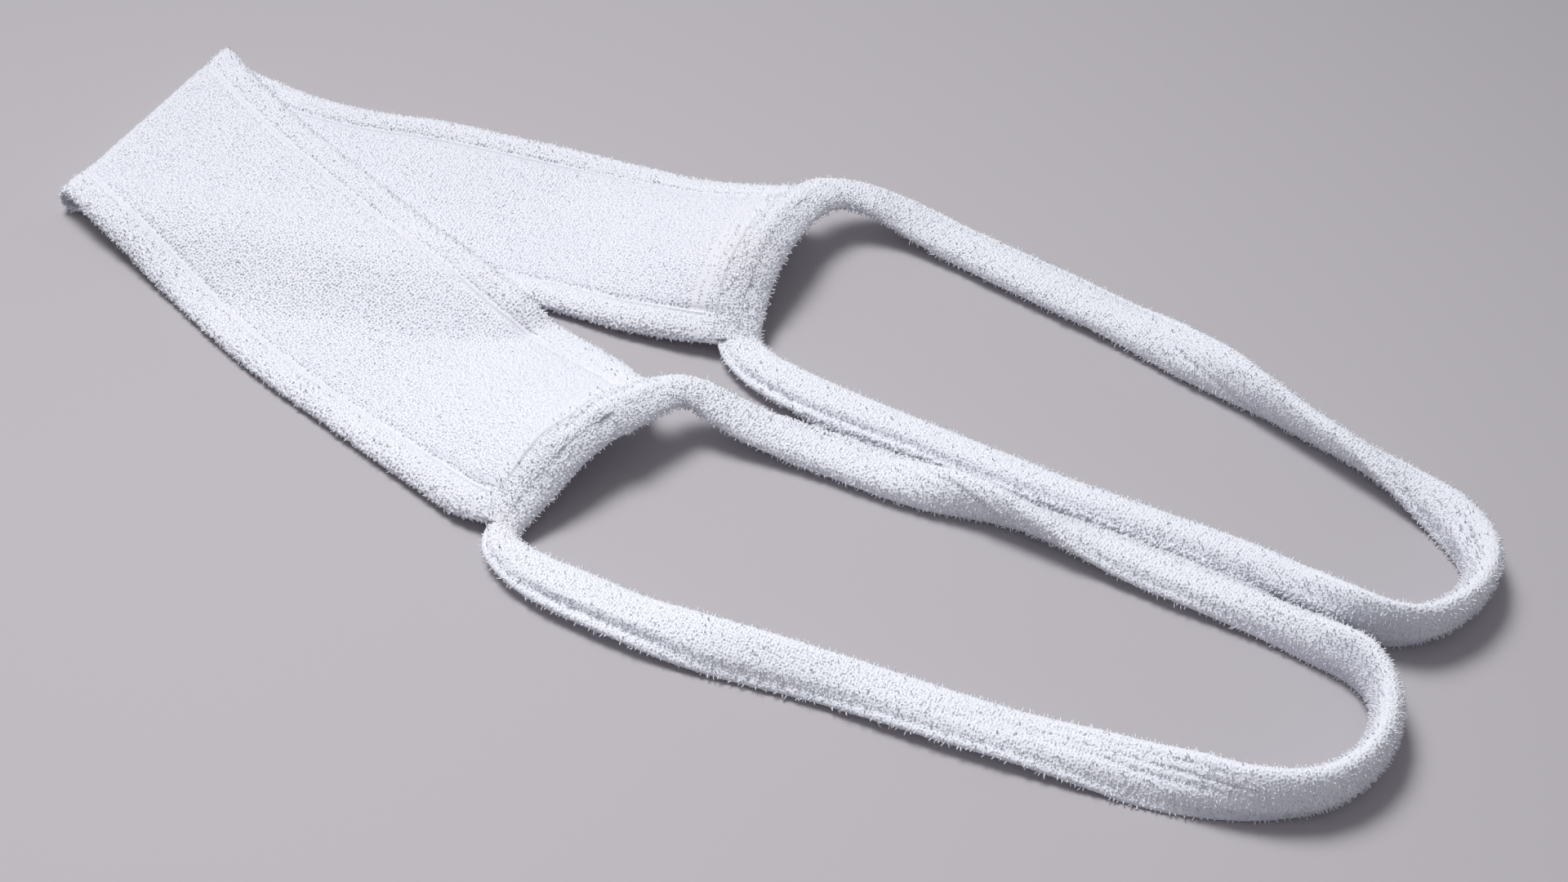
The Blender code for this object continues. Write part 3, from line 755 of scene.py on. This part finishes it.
# The folded strip: woven ground as a closed sheet, hems thicker than the body.
stripRing, ringEdge, ringFace, ringEnd, stripPlaces, foldRow = stripShell()
stripPiece = clothSheet("stripGround", stripRing, True, panelGround)
closeEnds(stripPiece)
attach(stripPiece, "root")
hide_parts("terry_strip")
print("strip ground made")

stripPile = {
    "spacing": 1.4, "jitter": 0.3, "rootDepth": 0.15,
    "bodyHeight": 0.58, "bodyRadius": 0.85, "bodyLean": 0.2,
    "hemHeight": 0.58, "hemRadius": 0.92, "hemMoreLean": 0.03,
    "hemBlend": (-3.0, -0.5),        # from the seam, towards the body
    "edgeHeight": 0.8, "edgeBlend": (1.0, 5.0),
    "heightSpread": (0.75, 1.2), "radiusSpread": (0.85, 1.15), "leanAlong": 0.08,
    "seamBlend": (0.54, 1.62),       # the pile is sewn down this near a seam, and stands past it
    "seamHeight": 0.25,
    "curlSpacing": 1.6, "curlHeight": 1.45, "curlRadius": 0.3, "curlTopShare": 0.02,
    "curlHeightSpread": (0.75, 1.25), "curlRadiusSpread": (0.85, 1.2),
    "curlAlong": 0.1, "curlLean": 0.45,
    "curlClear": 2.5,        # no curls nearer than this to a seam
    "hiddenShare": 0.16,     # what never shows gets this share of the yarn ends
    "shownEdge": 9.0,        # as far in from an edge both faces may show
    "coverClear": 7.0,
    "foldClear": 2.5,        # rows
    "lapClear": 2.5,
}


def shownOnStrip(roots, upper, edge, face, end):    # which roots can be seen from any side
    shown = (edge < stripPile["shownEdge"]) | (upper & (face > 0)) | (~upper & (face < 0))
    front = np.array(sorted(upperHalf))
    nearLine = np.interp(roots[:, 0], front[:, 0], front[:, 1])
    farLine = np.interp(roots[:, 0], front[:, 2], front[:, 3])
    inside = np.minimum(roots[:, 1] - nearLine, farLine - roots[:, 1])
    covered = inside > stripPile["coverClear"]
    bound = end < strip["lapReach"] - stripPile["lapClear"]
    return shown & (upper | ~covered) & ~bound


def pileOnStrip():
    sizes = stripPile
    normal, along = shellNormals(stripRing, False)
    spots = scatterOn(stripRing, sizes["spacing"], sizes["jitter"])
    roots = readGrid(stripRing, *spots.T)
    normals = unit(readGrid(normal, *spots.T))
    tangents = unit(readGrid(along, *spots.T))
    rowNumbers = np.arange(len(stripPlaces))
    edge = np.interp(spots[:, 1], np.arange(len(ringEdge)), ringEdge)
    face = np.interp(spots[:, 1], np.arange(len(ringFace)), ringFace)
    end = np.interp(spots[:, 0], rowNumbers, ringEnd)
    upper = np.interp(spots[:, 0], rowNumbers, stripPlaces) > foldRow - sizes["foldClear"]
    shown = shownOnStrip(roots, upper, edge, face, end)
    keep = shown | (chance.uniform(0, 1, len(roots)) < sizes["hiddenShare"])
    roots, normals, tangents = roots[keep], normals[keep], tangents[keep]
    edge, end, upper = edge[keep], end[keep], upper[keep]
    across = np.cross(normals, tangents)
    count = len(roots)
    hem = 1 - smoothStep(edge - strip["hemWidth"], *sizes["hemBlend"])
    rim = 1 - smoothStep(edge, *sizes["edgeBlend"])
    height = sizes["bodyHeight"] + (sizes["hemHeight"] - sizes["bodyHeight"]) * hem
    height += (sizes["edgeHeight"] - sizes["hemHeight"]) * rim
    fromLap = np.where((edge < strip["hemWidth"]) | upper, np.inf, np.abs(end - strip["lapReach"]))
    fromSeam = np.minimum(np.abs(edge - strip["hemWidth"]), fromLap)
    standing = smoothStep(fromSeam, *sizes["seamBlend"])
    height *= sizes["seamHeight"] + (1 - sizes["seamHeight"]) * standing
    height = height * chance.uniform(*sizes["heightSpread"], count)
    radius = sizes["bodyRadius"] + (sizes["hemRadius"] - sizes["bodyRadius"]) * hem
    radius = radius * chance.uniform(*sizes["radiusSpread"], count)
    lean = (tangents * chance.normal(sizes["leanAlong"], 1, count)[:, None]
            + across * chance.normal(0, 1, count)[:, None])
    lean *= (sizes["bodyLean"] + sizes["hemMoreLean"] * hem)[:, None]
    roots = roots - normals * sizes["rootDepth"]
    pieces = []
    onHem = hem > 0.5
    for name, part, cotton in (("stripBodyPile", ~onHem, panelPile),
                               ("stripHemPile", onHem, hemPile)):
        pieces += growPile(name, nubYarn, roots[part], normals[part], tangents[part], height[part],
                           radius[part], lean[part], cotton)
    curls = np.flatnonzero((hem > 0.9) & (fromSeam > sizes["curlClear"]))
    wanted = sideShare(normals[curls], sizes["curlTopShare"])
    wanted *= (sizes["spacing"] / sizes["curlSpacing"]) ** 2
    curls = curls[chance.uniform(0, 1, len(curls)) < wanted]
    count = len(curls)
    bend = tangents[curls] * chance.normal(sizes["curlAlong"], sizes["curlLean"], count)[:, None]
    bend += across[curls] * chance.normal(0, sizes["curlLean"], count)[:, None]
    pieces += growPile("stripHemCurls", curlYarn, roots[curls], normals[curls], tangents[curls],
                       sizes["curlHeight"] * chance.uniform(*sizes["curlHeightSpread"], count),
                       sizes["curlRadius"] * chance.uniform(*sizes["curlRadiusSpread"], count),
                       bend, hemPile)
    return pieces


stripPilePieces = pileOnStrip()

# The two loop handles: a cut strip of terry sewn into a flat tube, its seam in the lip.
frontCreases = (
    # from, to (share of the loop), from, to (share of the girth), half width, rise
    (0.968, 0.870, 0.085, 0.110, 0.022, -1.0),
    (0.975, 0.885, 0.150, 0.165, 0.025, 0.5),
    (0.765, 0.610, 0.215, 0.245, 0.015, -0.9),
    (0.755, 0.600, 0.275, 0.315, 0.015, -0.95),
    (0.745, 0.610, 0.335, 0.385, 0.015, -0.85),
    (0.215, 0.330, 0.060, 0.200, 0.020, 0.7),
    (0.225, 0.345, 0.120, 0.270, 0.014, -0.8),
)
rearCreases = (
    # from, to (share of the loop), from, to (share of the girth), half width, rise
    (0.990, 0.860, 0.085, 0.110, 0.022, -0.8),
    (0.390, 0.545, 0.700, 0.610, 0.015, -0.95),
    (0.385, 0.555, 0.760, 0.680, 0.015, -1.0),
    (0.395, 0.545, 0.820, 0.750, 0.015, -0.9),
    (0.335, 0.410, 0.300, 0.440, 0.018, -0.8),
)
frontPleats = (
    # place along the loop, half width along it, from, to (share of the girth), rise
    (0.0720, 0.0045, 0.16, 0.56, -1.1),
    (0.0800, 0.0040, 0.16, 0.56, 0.7),
    (0.0440, 0.0050, 0.12, 0.50, -0.5),
)
rearPleats = (
    # place along the loop, half width along it, from, to (share of the girth), rise
    (0.0300, 0.0045, 0.12, 0.50, -0.6),
    (0.0950, 0.0060, 0.12, 0.50, -0.5),
)


def fadedEnds(value, low, high, fade):    # 1 between two places, faded to 0 at both
    return smoothStep(value, low, low + fade) * (1 - smoothStep(value, high - fade, high))


def creaseRise(creases, pleats):    # how far each crease moves the cloth out
    station = (np.arange(tape["sections"]) / tape["sections"])[:, None]
    girth = np.linspace(0, 1, tape["around"] + 1)[None, :]
    rise = np.zeros((tape["sections"], tape["around"] + 1))
    for start, finish, girthStart, girthFinish, half, height in creases:
        centre = girthStart + (girthFinish - girthStart) * (station - start) / (finish - start)
        ends = fadedEnds(station, min(start, finish), max(start, finish), tape["creaseFade"])
        rise = rise + height * ends * bell(girth, centre, half)
    for centre, half, girthStart, girthFinish, height in pleats:
        ends = fadedEnds(girth, girthStart, girthFinish, tape["pleatFade"])
        rise = rise + height * ends * bell(station, centre, half)
    return rise


handlePileSizes = {
    "nub": {"spacing": 1.25, "height": 0.6, "radius": 0.96, "lean": 0.16},
    "curl": {"spacing": 1.55, "height": 1.5, "radius": 0.3, "lean": 0.4},
    "jitter": 0.28, "rootDepth": 0.2, "leanAlong": 0.05,
    "heightSpread": (0.65, 1.35), "radiusSpread": (0.8, 1.15),
    "sideShare": 0.45,       # nubs on cloth that faces sideways are this much of their height
    "curlTopShare": 0.02,
    "hiddenShare": 0.3, "hiddenFacing": -0.6, "hiddenHeight": 4.0,
    "meetReach": (5.0, 8.5),    # cloth nearer than this to the other handle's swells and fluffs out
    "meetSwell": 1.2, "meetHeight": 1.4, "meetRadius": 0.3,
}


def meetShare(points, normal, other):    # 1 where the cloth faces the other handle's close by
    tree = KDTree(len(other))
    for number, point in enumerate(other):
        tree.insert(point, number)
    tree.balance()
    share = np.zeros(points.shape[:2])
    near, far = handlePileSizes["meetReach"]
    for row in range(points.shape[0]):
        for column in range(points.shape[1]):
            nearest, _, away = tree.find(points[row, column])
            if away < far:
                facing = (np.array(nearest) - points[row, column]) @ normal[row, column] / away
                share[row, column] = smoothStep(-away, -far, -near) * max(facing, 0.0) ** 0.5
    return share


def coverWithPile(name, cloth, normal, along, shownShare, meets=None):
    sizes = handlePileSizes
    pile = []
    for kind, yarnEnd in (("nub", nubYarn), ("curl", curlYarn)):
        own = sizes[kind]
        spots = scatterOn(cloth, own["spacing"], sizes["jitter"])
        roots = readGrid(cloth, *spots.T)
        normals = unit(readGrid(normal, *spots.T))
        tangents = unit(readGrid(along, *spots.T))
        meet = np.zeros(len(roots))
        if meets is not None:
            meet = readGrid(meets[:, :, None], *spots.T)[:, 0]
        hidden = (normals[:, 2] < sizes["hiddenFacing"]) & (roots[:, 2] < sizes["hiddenHeight"])
        wanted = np.where(hidden, sizes["hiddenShare"], 1.0) * shownShare
        if kind == "curl":
            wanted *= sideShare(normals, sizes["curlTopShare"])
        keep = chance.uniform(0, 1, len(roots)) < wanted
        roots, normals, tangents, meet = roots[keep], normals[keep], tangents[keep], meet[keep]
        across = np.cross(normals, tangents)
        count = len(roots)
        height, radius = own["height"], own["radius"]
        if kind == "nub":
            flatness = sizes["sideShare"] + (1 - sizes["sideShare"]) * normals[:, 2] ** 2
            height = height * flatness + sizes["meetHeight"] * meet
            radius = radius + sizes["meetRadius"] * meet
        lean = (tangents * chance.normal(sizes["leanAlong"], own["lean"], count)[:, None]
                + across * chance.normal(0, own["lean"], count)[:, None])
        height = height * chance.uniform(*sizes["heightSpread"], count)
        radius = radius * chance.uniform(*sizes["radiusSpread"], count)
        roots = roots - normals * sizes["rootDepth"]
        pile += growPile(f"{name}_{kind}Pile", yarnEnd, roots, normals, tangents, height, radius,
                         lean, handlePile)
    return pile


def shapeHandle(rows, creases, pleats):    # the ground's rings, creased, and settled where it rests
    places = evenPlaces(loopTable(rows), tape["sections"])
    points = loopRings(rows, places, tapeRing, tape["inset"])[0]
    outward = shellNormals(np.concatenate((points, points[:1]), axis=0), True)[0][:-1]
    points = points + outward * creaseRise(creases, pleats)[:, :, None]
    lowest = points[:, :, 2].min(axis=1, keepdims=True)
    settle = (lowest - tape["groundHeight"]) * (1 - smoothStep(lowest, *tape["restHeights"]))
    points[:, :, 2] -= settle * (1 - smoothStep(points[:, :, 2] - lowest, 0.0, tape["settleReach"]))
    points[:, :, 2] = np.maximum(points[:, :, 2], tape["groundHeight"])
    return np.concatenate((points, points[:1]), axis=0)


def makeHandle(name, closed, other, node):
    normal, along = shellNormals(closed, True)
    meets = meetShare(closed, normal, other.reshape(-1, 3))
    closed = closed + normal * (meets * handlePileSizes["meetSwell"])[:, :, None]
    item = clothSheet(name, closed, True, handleGround)
    addWall(item, tape["wall"])
    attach(item, "root")
    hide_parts(node)
    pile = coverWithPile(name, closed, normal, along, 1.0, meets)


frontShape = shapeHandle(frontLoop, frontCreases, frontPleats)
rearShape = shapeHandle(rearLoop, rearCreases, rearPleats)
makeHandle("frontHandleGround", frontShape, rearShape, "front_handle")
makeHandle("rearHandleGround", rearShape, frontShape, "rear_handle")

# The laps: each handle's cloth turned over the strip's end, above and below.
lap = {
    "points": 76,            # along the bound end
    "edgePoints": 200,
    "edgeShare": 0.012,
    "steps": 16,             # from the tape onto the strip
    "topColumn": 10,         # the column of the tape's section where a lap leaves it
    "startLift": 0.02, "lift": 0.15,
    "sewnShare": 0.5,        # of the strip's lap reach
    "leaveRows": 3.0,
    "bulge": 0.9,
    "wall": 0.25,
    "floorClear": 0.4,
    "underPileShare": 0.4,
}


def lapCloth(rows, boundRows, atFront, over):    # rows of points from the tape to the strip
    shares = np.linspace(lap["edgeShare"], 1 - lap["edgeShare"], lap["points"])
    run = runAlong(boundEdge(rows, boundRows, lap["edgePoints"]))
    places = np.interp(shares * run[-1], run, np.linspace(*boundRows, lap["edgePoints"]))
    side, top = loopStations(rows, places)[1:3]
    points = loopRings(rows, places, tapeRing, tape["inset"])[0]
    startColumn = lap["topColumn"] if over else len(tapeRing) - 1 - lap["topColumn"]
    start = points[:, startColumn] + top * (lap["startLift"] if over else -lap["startLift"])
    share = stripColumns()
    columns = np.interp(shares, share, np.arange(len(share)))
    if over != atFront:    # the front half shows its outer face, the rear half its inner one
        columns = len(share) + strip["edgeSteps"] + (len(share) - 1 - columns)
    sewnRow = lap["sewnShare"] * strip["lapReach"] / ringEnd[1]
    inward = -1 if atFront else 1
    row = (len(stripRing) - 1 if atFront else 0) + inward * sewnRow
    spots = (np.full(len(shares), row), columns)
    landing = readGrid(stripRing, *spots)
    finish = landing + unit(readGrid(shellNormals(stripRing, False)[0], *spots)) * lap["lift"]
    leave = unit(readGrid(stripRing, spots[0] + inward * lap["leaveRows"], columns) - landing)
    reach = np.linalg.norm(finish - start, axis=1)[:, None]
    part = np.linspace(0, 1, lap["steps"] + 1)[None, :, None]
    slopes = [(way * reach)[:, None, :] * lap["bulge"] for way in (side, leave)]
    cloth = cubicBetween(part, start[:, None, :], finish[:, None, :], *slopes)
    cloth[:, :, 2] = np.maximum(cloth[:, :, 2], lap["floorClear"])
    return cloth, top


def sewLap(name, rows, boundRows, atFront, over):
    cloth, top = lapCloth(rows, boundRows, atFront, over)
    item = clothSheet(name, cloth, False, handleGround)
    facing = np.cross(np.gradient(cloth, axis=0), np.gradient(cloth, axis=1))
    if (facing * top[:, None, :]).sum() * (1 if over else -1) < 0:
        facing = -facing
    facing = unit(facing)
    item.data.update()
    if item.data.polygons[0].normal.dot(Vector(facing[0, 0])) < 0:
        item.data.flip_normals()
    addWall(item, lap["wall"])
    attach(item, "root")
    shownShare = 1.0 if over else lap["underPileShare"]
    pile = coverWithPile(name, cloth, facing, np.gradient(cloth, axis=0), shownShare)


for lapName, lapRows, lapBound, atFront in (("frontLap", frontLoop, tape["frontBound"], True),
                                            ("rearLap", rearLoop, tape["rearBound"], False)):
    sewLap(lapName + "Over", lapRows, lapBound, atFront, True)
    sewLap(lapName + "Under", lapRows, lapBound, atFront, False)

# Floor, light and camera.
floor = {
    "halfSize": 14.0,        # metres
    "finish": {"Base Color": hexColour("BDB9BE"), "Roughness": 0.9, "Specular IOR Level": 0.2},
}
window = {
    "place": (-1.4, 0.55, 2.78),     # metres
    "target": (-0.03, -0.22, 0.0),
    "size": 1.75,
    "spread": 39.0,          # degrees
    "power": 7.5,
    "colour": "FFFFFF",
}
surround = {"colour": "F1F1F6", "strength": 0.29}
view = {
    "turn": 30.0,            # the camera's heading about the strap, degrees
    "elevation": 43.0,
    "distance": 1080.0,
    "aim": (36.9, -11.2, 0.0),
    "focalPixels": 3500.0,
    "frameWidth": 1920.0,
    "sensorWidth": 36.0,
}
floorMesh = bmesh.new()
bmesh.ops.create_grid(floorMesh, x_segments=1, y_segments=1, size=floor["halfSize"])
floorData = bpy.data.meshes.new("floor")
floorMesh.to_mesh(floorData)
floorMesh.free()
floorData.materials.append(newMaterial("matt_grey_card", floor["finish"])[0])    # plain grey card
floorObject = addItem("floor", floorData)

lightData = bpy.data.lights.new("windowLight", "AREA")
lightData.shape = "DISK"
lightData.size = window["size"]
lightData.energy = window["power"]
lightData.color = hexColour(window["colour"])[:3]
lightData.spread = math.radians(window["spread"])
light = addItem("windowLight", lightData)
light.location = window["place"]
toTarget = Vector(window["target"]) - Vector(window["place"])
light.rotation_euler = toTarget.to_track_quat("-Z", "Y").to_euler()

world = bpy.data.worlds.new("softSurround")
world.use_nodes = True
background = world.node_tree.nodes["Background"]
background.inputs["Color"].default_value = hexColour(surround["colour"])
background.inputs["Strength"].default_value = surround["strength"]
bpy.context.scene.world = world
bpy.context.scene.view_settings.view_transform = "Standard"

turn = math.radians(view["turn"])
elevation = math.radians(view["elevation"])
aim = Vector(view["aim"]) * millimetre
back = view["distance"] * math.cos(elevation)
rise = view["distance"] * math.sin(elevation)
eye = aim + Vector((math.sin(turn) * back, -math.cos(turn) * back, rise)) * millimetre
cameraData = bpy.data.cameras.new("camera")
cameraData.sensor_width = view["sensorWidth"]
cameraData.lens = view["focalPixels"] / view["frameWidth"] * view["sensorWidth"]
camera = addItem("camera", cameraData)
camera.location = eye
camera.rotation_euler = (aim - eye).to_track_quat("-Z", "Y").to_euler()
bpy.context.scene.camera = camera
print("stage set")
